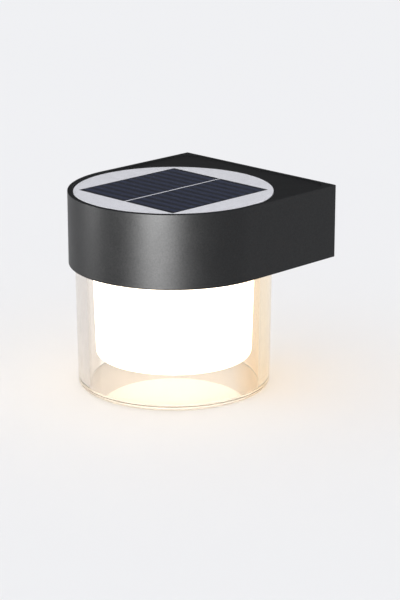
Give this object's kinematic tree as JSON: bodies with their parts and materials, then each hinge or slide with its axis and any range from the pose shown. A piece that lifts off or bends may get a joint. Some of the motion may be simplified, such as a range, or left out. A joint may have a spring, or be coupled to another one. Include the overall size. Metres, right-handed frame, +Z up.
{
  "type": "fence light",
  "caption": "Solar fence light: D-shaped dark head with a round solar panel let into its top, over a thick clear glass cup round a lit opal diffuser, hung on a hooked wall bracket.",
  "frame": {"origin": "on the glass cup's axis, on the plane that the light stands on", "axes": "+Z up, +Y towards the wall or fence, -Y to the half-round front"},
  "size_m": [0.12, 0.1315, 0.114],
  "materials": {
    "shell": "satin, fine even texture",
    "chassis_plastic": "fine matt moulding",
    "panel_silver": "smooth, silver-grey",
    "solar_cell": "dark blue-black silicon with fine fingers",
    "clear_resin": "clear, level",
    "foam": "closed-cell foam",
    "seal_rubber": "soft silicone",
    "clear_glass": "clear, polished",
    "opal_plastic": "opal, lit from within",
    "led_board_white": "white solder mask on aluminium",
    "led_phosphor": "yellow phosphor in a white case",
    "circuit_green": "green solder mask",
    "component_black": "moulded epoxy",
    "lead_sleeve": "extruded sleeve",
    "battery_sleeve": "printed shrink sleeve",
    "nickel": "nickel-plated strip",
    "steel": "zinc-plated",
    "bracket_steel": "black powder coat on pressed steel"
  },
  "bodies": {
    "light": {"head_shell": "shell", "panel_gasket": "foam", "panel_backing": "panel_silver", "solar_cells": "solar_cell", "panel_cover": "clear_resin", "panel_leads": "lead_sleeve", "chassis": "chassis_plastic", "chassis_screws": "steel", "glass_seal": "seal_rubber", "diffuser_cup": "opal_plastic", "diffuser_screws": "steel", "led_board": "led_board_white", "led_chips": "led_phosphor", "led_board_screws": "steel", "led_leads": "lead_sleeve", "battery_holder": "chassis_plastic", "battery_cell": "battery_sleeve", "battery_contacts": "nickel", "battery_leads": "lead_sleeve", "control_board": "circuit_green", "board_components": "component_black", "board_screws": "steel", "switch_body": "component_black", "switch_board": "circuit_green", "switch_leads": "lead_sleeve"},
    "glass": {"glass_cup": "clear_glass"},
    "button": {"switch_button": "seal_rubber"},
    "bracket": {"wall_bracket": "bracket_steel"}
  },
  "joints": [
    {"name": "glass_turn", "type": "hinge", "parent": "light", "child": "glass", "pos_m": [0, 0, 0.08], "axis": [0, 0, -1], "range_deg": [0, 30]},
    {"name": "button_push", "type": "slide", "parent": "light", "child": "button", "axis": [0, 0, 1], "range_m": [0, 0.0015], "stiffness_N_per_m": 600},
    {"name": "bracket_lift", "type": "slide", "parent": "light", "child": "bracket", "axis": [0, 0, -1], "range_m": [0, 0.0047]}
  ]
}
